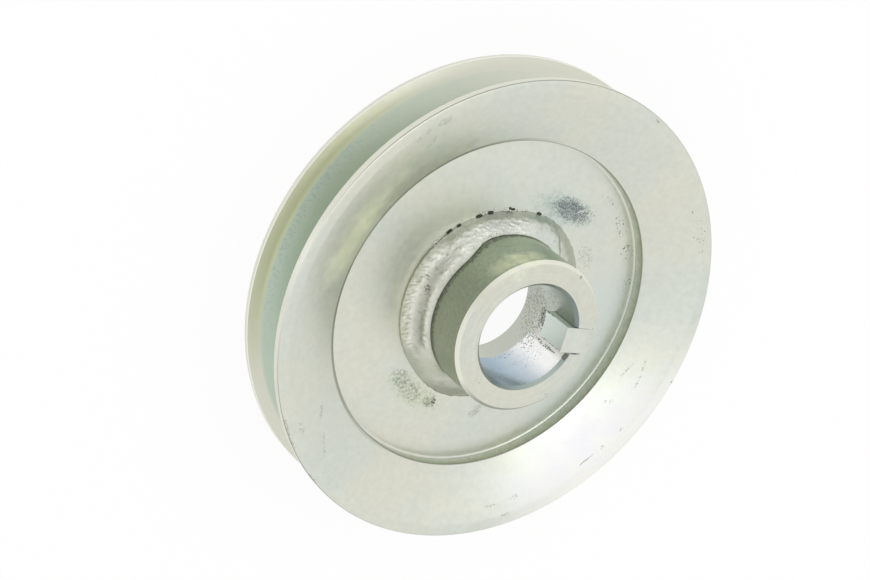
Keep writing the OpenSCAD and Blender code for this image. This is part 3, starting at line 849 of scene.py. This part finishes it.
class PULLEY_OT_bead(bpy.types.Operator):
    """Lay the weld bead between the hub and the web"""
    bl_idname = "pulley.bead"
    bl_label = "Lay the weld bead"

    FACES = 22
    SEGMENTS = 1440
    LEG = 4.0
    ROOT = 0.4
    SINK = 0.03

    def execute(self, context):
        scene = context.scene
        settings = scene.pulley_bead
        points = [(HUB_R - self.ROOT, WEB_TOP - self.ROOT)]
        for i in range(self.FACES + 1):
            share = i / self.FACES
            points.append((HUB_R + self.LEG * (1 - share), WEB_TOP + self.LEG * share))
        shape = spin_ring(points, self.SEGMENTS)
        # Layers for painted highlight on the frost and for painted shade
        frost_highlight = shape.verts.layers.float.new("frost_highlight")
        seam_shade = shape.verts.layers.float.new("seam_shade")
        for vert in shape.verts:
            if vert.co.z > (WEB_TOP - self.ROOT / 2) * MM:
                vert.co, vert[frost_highlight], vert[seam_shade] = self.place(vert.co, settings)
        finish = weld_zinc("weld_zinc", scene.pulley_plating, BEAD_MARKS)
        bead = add_piece(context, "weld_bead", shape, finish)
        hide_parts("hub_weld")
        return {"FINISHED"}

    def place(self, spot, settings):
        """Move a point of the plain ring to the face of the bead, with its ripples, streaks and lumps, and
        tell how frosted it is, painted nearly white as a highlight, and how much painted shade it has
        there."""
        across = (spot.z / MM - WEB_TOP) / self.LEG
        turn = math.atan2(spot.y, spot.x) % (2 * math.pi)
        azimuth = math.degrees(turn)
        reach = (settings.reach + settings.widening * in_zone(azimuth, WIDE)) / MM
        high = in_zone(azimuth, HIGH)
        climb = (settings.climb + settings.heightening * high) / MM
        run = turn * (HUB_R + reach / 2)
        over = across * math.hypot(reach, climb)
        bow = math.sin(math.pi * across)
        lump = pattern(run, over, LUMPS)
        knob = pattern(run, over, KNOBS)
        patchy = 0.5 + 0.5 * pattern(run, over, PATCHES)
        fine = pattern(run, over, FINE)
        rough = in_zone(azimuth, ROUGH)
        roped = in_zone(azimuth, ROPED)

        rope = roped * ease(across, 0.02, 0.1) * (1 - ease(across, 0.3, 0.5))
        ripples = (settings.pitch / MM / 2, RIPPLE_REACH, RIPPLE_LAYER)
        ripple = 1.7 * pattern(run + 0.55 * over, over, ripples)
        streaked = in_zone(azimuth, STREAKED) * ease(across, 0.22, 0.5) * (1 - ease(across, 0.9, 0.99))
        streak = pattern(run, over + 0.22 * run, STREAKS) + 0.5 * fine
        broken = max(pattern(run, 3, BREAKS) + 0.35, 0)
        ridge = roped * near(across, 0.8 + 0.06 * lump, 0.045) * broken
        trough = roped * near(across, 0.62, 0.14)

        rise = bead_swell(azimuth, across) * math.sin(math.pi * across ** (1 - 0.4 * high))
        rise += bow * (0.08 + 0.17 * rough) * lump + rough * bow * (0.07 * knob + 0.05 * fine)
        rise += rope * (0.15 + settings.depth / MM * ripple + 0.08 * fine)
        rise += streaked * 0.2 * streak + 0.35 * ridge - 0.12 * trough
        toe = 0.22 * pattern(run, 0, TOE) * (1 - across)
        flat = Vector((reach * (1 - across) + toe, climb * across))
        face = flat + rise * Vector((climb, reach)).normalized()
        out = HUB_R + face.x
        placed = Vector((math.cos(turn) * out, math.sin(turn) * out, WEB_TOP + face.y - self.SINK)) * MM

        # Frost on the ripples, streaks and ridge, painted nearly white as a highlight
        frost_highlight_level = rope * (0.75 + 0.7 * ripple) * (0.5 + patchy) + streaked * (0.12 + 1.4 * streak)
        frost_highlight_level += 1.3 * ridge + 0.4 * in_zone(azimuth, PALE) * bow
        # Painted shade along the lap's edge, at the toe, on the lower side and in the troughs; also darker
        # along the top edge, on rough knobs and a grey stretch
        lap_edge_shade = near((azimuth - LAP + LAP_LEAD * across + 180) % 360 - 180, -0.4, 1.2) * bow
        painted_shade = 0.75 * lap_edge_shade + 0.3 * in_zone(azimuth, SMOOTH_TOE) * near(across, 0.0, 0.06)
        painted_shade += 0.32 * in_zone(azimuth, UNDER_SHADE) + 0.2 * in_zone(azimuth, GREY_TOP)
        painted_shade += 0.5 * high * near(across, 1.0, 0.05) + 0.42 * trough + 0.5 * rough * max(knob - 0.2, 0)
        return placed, min(max(frost_highlight_level, 0), 1), min(max(painted_shade, 0), 1)


class PULLEY_OT_slag(bpy.types.Operator):
    """Leave crumbs of slag and beads of spatter along the toe of the weld bead"""
    bl_idname = "pulley.slag"
    bl_label = "Leave slag and spatter"

    SEED = 4
    CRUMB = (0.32, 0.26)
    CRUMB_SPREAD = (0.85, 1.15)
    CRUMB_SKEW = 0.25
    BEADS = 60
    BEAD_ZONE = (70, 150)
    BEAD_RADII = (23.5, 24.6)
    BEAD_SIZES = (0.08, 0.24)
    BEAD_STRETCH = (1.0, 1.8)
    BEAD_FLATNESS = 0.8
    BEAD_SKEW = 0.8
    UNEVEN = 0.35
    UNEVEN_SIZE = 0.5

    def execute(self, context):
        draw = random.Random(self.SEED)
        slag = bmesh.new()
        for azimuth, radius, half_length in SLAG_PLACES:
            size = (half_length, *(side * draw.uniform(*self.CRUMB_SPREAD) for side in self.CRUMB))
            self.add_lump(slag, azimuth, radius, size, draw.uniform(-self.CRUMB_SKEW, self.CRUMB_SKEW))
        add_piece(context, "weld_slag", slag, weld_slag("weld_slag"))
        spatter = bmesh.new()
        for _ in range(self.BEADS):
            wide = draw.uniform(*self.BEAD_SIZES)
            size = (wide * draw.uniform(*self.BEAD_STRETCH), wide, wide * self.BEAD_FLATNESS)
            azimuth = draw.uniform(*self.BEAD_ZONE)
            radius = draw.uniform(*self.BEAD_RADII)
            self.add_lump(spatter, azimuth, radius, size, draw.uniform(-self.BEAD_SKEW, self.BEAD_SKEW))
        add_piece(context, "weld_spatter", spatter, spatter_zinc("spatter_zinc"))
        return {"FINISHED"}

    def add_lump(self, shape, azimuth, radius, size, skew):
        """Add an uneven lump that lies along the bead."""
        turn = math.radians(azimuth)
        spot = Vector((math.cos(turn) * radius, math.sin(turn) * radius, WEB_TOP + 0.5 * size[2])) * MM
        pose = Matrix.Translation(spot) @ Matrix.Rotation(turn + math.pi / 2 + skew, 4, "Z")
        scale = Matrix.Diagonal((*(s * MM for s in size), 1))
        made = bmesh.ops.create_icosphere(shape, subdivisions=3, radius=1, matrix=pose @ scale)
        for vert in made["verts"]:
            vert.co += (vert.co - spot) * self.UNEVEN * noise.noise(vert.co / (self.UNEVEN_SIZE * MM))


class PULLEY_OT_fillet(bpy.types.Operator):
    """Turn up the web a little at the foot of the step, where the flange was pressed on to it"""
    bl_idname = "pulley.fillet"
    bl_label = "Turn up the step's foot"

    WIDTH = 0.7
    SLOPE = 32
    ROOT = 0.12
    SINK = 0.003
    FACES = 10
    SEGMENTS = 360

    def execute(self, context):
        bend = self.WIDTH / math.sin(math.radians(self.SLOPE))
        start = STEP_R - self.WIDTH
        points = [(STEP_R + self.ROOT, WEB_TOP - self.ROOT), (start, WEB_TOP - self.ROOT)]
        for i in range(self.FACES + 1):
            slope = math.radians(self.SLOPE * i / self.FACES)
            rise = bend * (1 - math.cos(slope))
            points.append((start + bend * math.sin(slope), WEB_TOP + rise - self.SINK))
        points.append((STEP_R + self.ROOT, points[-1][1]))
        shape = spin_ring(points, self.SEGMENTS)
        add_piece(context, "step_fillet", shape, NODES["rear_plate"].data.materials[0])
        return {"FINISHED"}


CAMERA_PLACE = Vector((-255.28, 136.1, 343.45)) * MM
CAMERA_TURN = Euler([math.radians(d) for d in (-28.28, -28.652, 19.049)])
SENSOR_WIDTH = 36
LAMP_PLACE = (0.05, 0.12, 0.75)
LAMP_WIDTH = 0.38
# Share of the floor's light that is its own white, and the turns from the camera's side, in degrees,
# between which the room goes from pale to dark
FLOOR_GLOW = 0.93
DARK_SIDE = (24, 8)


class PULLEY_OT_stage(bpy.types.Operator):
    """Set the camera, the white floor and the soft studio light"""
    bl_idname = "pulley.stage"
    bl_label = "Set the stage"

    def execute(self, context):
        scene = context.scene
        settings = scene.pulley_stage
        scene.view_settings.view_transform = "Standard"
        camera = bpy.data.objects.new("camera", bpy.data.cameras.new("camera"))
        camera.data.sensor_width = SENSOR_WIDTH
        camera.data.lens = settings.lens
        camera.location = CAMERA_PLACE
        camera.rotation_euler = CAMERA_TURN
        scene.collection.objects.link(camera)
        scene.camera = camera

        shape = bmesh.new()
        bmesh.ops.create_grid(shape, x_segments=1, y_segments=1, size=settings.floor / 2)
        mesh = bpy.data.meshes.new("floor")
        shape.to_mesh(mesh)
        shape.free()
        mesh.materials.append(self.floor_paper())
        floor = bpy.data.objects.new("floor", mesh)
        scene.collection.objects.link(floor)

        scene.world = bpy.data.worlds.new("studio")
        self.light_room(new_tree(scene.world), settings)
        lamp = bpy.data.lights.new("softbox", "AREA")
        lamp.shape = "DISK"
        lamp.size = LAMP_WIDTH
        lamp.energy = settings.lamp
        softbox = bpy.data.objects.new("softbox", lamp)
        softbox.location = LAMP_PLACE
        scene.collection.objects.link(softbox)
        return {"FINISHED"}

    def floor_paper(self):
        """Matt white paper that shows as white, with a faint shadow."""
        paper = bpy.data.materials.new("floor_paper")
        tree = new_tree(paper)
        path = add_node(tree, "LightPath").node.outputs
        straight = add_node(tree, "Math", {
            0: path["Is Camera Ray"], 1: path["Is Glossy Ray"]}, operation="MAXIMUM")
        seen = add_node(tree, "Math", {
            0: straight, 1: path["Is Transmission Ray"]}, operation="MAXIMUM")
        share = add_node(tree, "Math", {0: seen, 1: FLOOR_GLOW}, operation="MULTIPLY")
        matt = add_node(tree, "BsdfDiffuse", {"Color": linear(PAPER)})
        white = add_node(tree, "Emission", {"Color": linear(WHITE), "Strength": 1.0})
        mixed = add_node(tree, "MixShader", {0: share, 1: matt, 2: white})
        add_node(tree, "OutputMaterial", {"Surface": mixed})
        return paper

    def light_room(self, tree, settings):
        """Pale walls all round, and a darker side behind the camera."""
        way = add_node(tree, "TexCoord").node.outputs["Generated"]
        behind = add_node(tree, "VectorMath", {
            0: way, 1: CAMERA_PLACE.normalized()}, operation="DOT_PRODUCT")
        start, end = (math.cos(math.radians(turn)) for turn in DARK_SIDE)
        level = add_node(tree, "MapRange", {
            "Value": behind, "From Min": start, "From Max": end,
            "To Min": settings.room, "To Max": settings.shade}, interpolation_type="SMOOTHSTEP")
        walls = add_node(tree, "Background", {"Color": linear(WHITE), "Strength": level})
        add_node(tree, "OutputWorld", {"Surface": walls})


STEPS = (
    PULLEY_OT_plates, PULLEY_OT_fillet, PULLEY_OT_hub, PULLEY_OT_bead, PULLEY_OT_slag, PULLEY_OT_stage)


class VIEW3D_PT_pulley(bpy.types.Panel):
    """Steps and settings of the pulley's finish"""
    bl_label = "Pulley"
    bl_space_type = "VIEW_3D"
    bl_region_type = "UI"
    bl_category = "Pulley"

    def draw(self, context):
        for step in STEPS:
            self.layout.operator(step.bl_idname)
        for name in SETTINGS:
            group = getattr(context.scene, name)
            for prop in group.bl_rna.properties:
                if prop.identifier in group.__annotations__:
                    self.layout.prop(group, prop.identifier)


SETTINGS = {"pulley_plating": PlatingSettings, "pulley_bead": BeadSettings, "pulley_stage": StageSettings}
CLASSES = (*SETTINGS.values(), *STEPS, VIEW3D_PT_pulley)


def register():
    for cls in CLASSES:
        bpy.utils.register_class(cls)
    for name, cls in SETTINGS.items():
        setattr(bpy.types.Scene, name, bpy.props.PointerProperty(type=cls))


def unregister():
    for name in SETTINGS:
        delattr(bpy.types.Scene, name)
    for cls in reversed(CLASSES):
        bpy.utils.unregister_class(cls)


def main():
    register()
    bpy.ops.pulley.plates()
    bpy.ops.pulley.fillet()
    bpy.ops.pulley.hub()
    bpy.ops.pulley.bead()
    bpy.ops.pulley.slag()
    bpy.ops.pulley.stage()


if __name__ == "__main__":
    main()
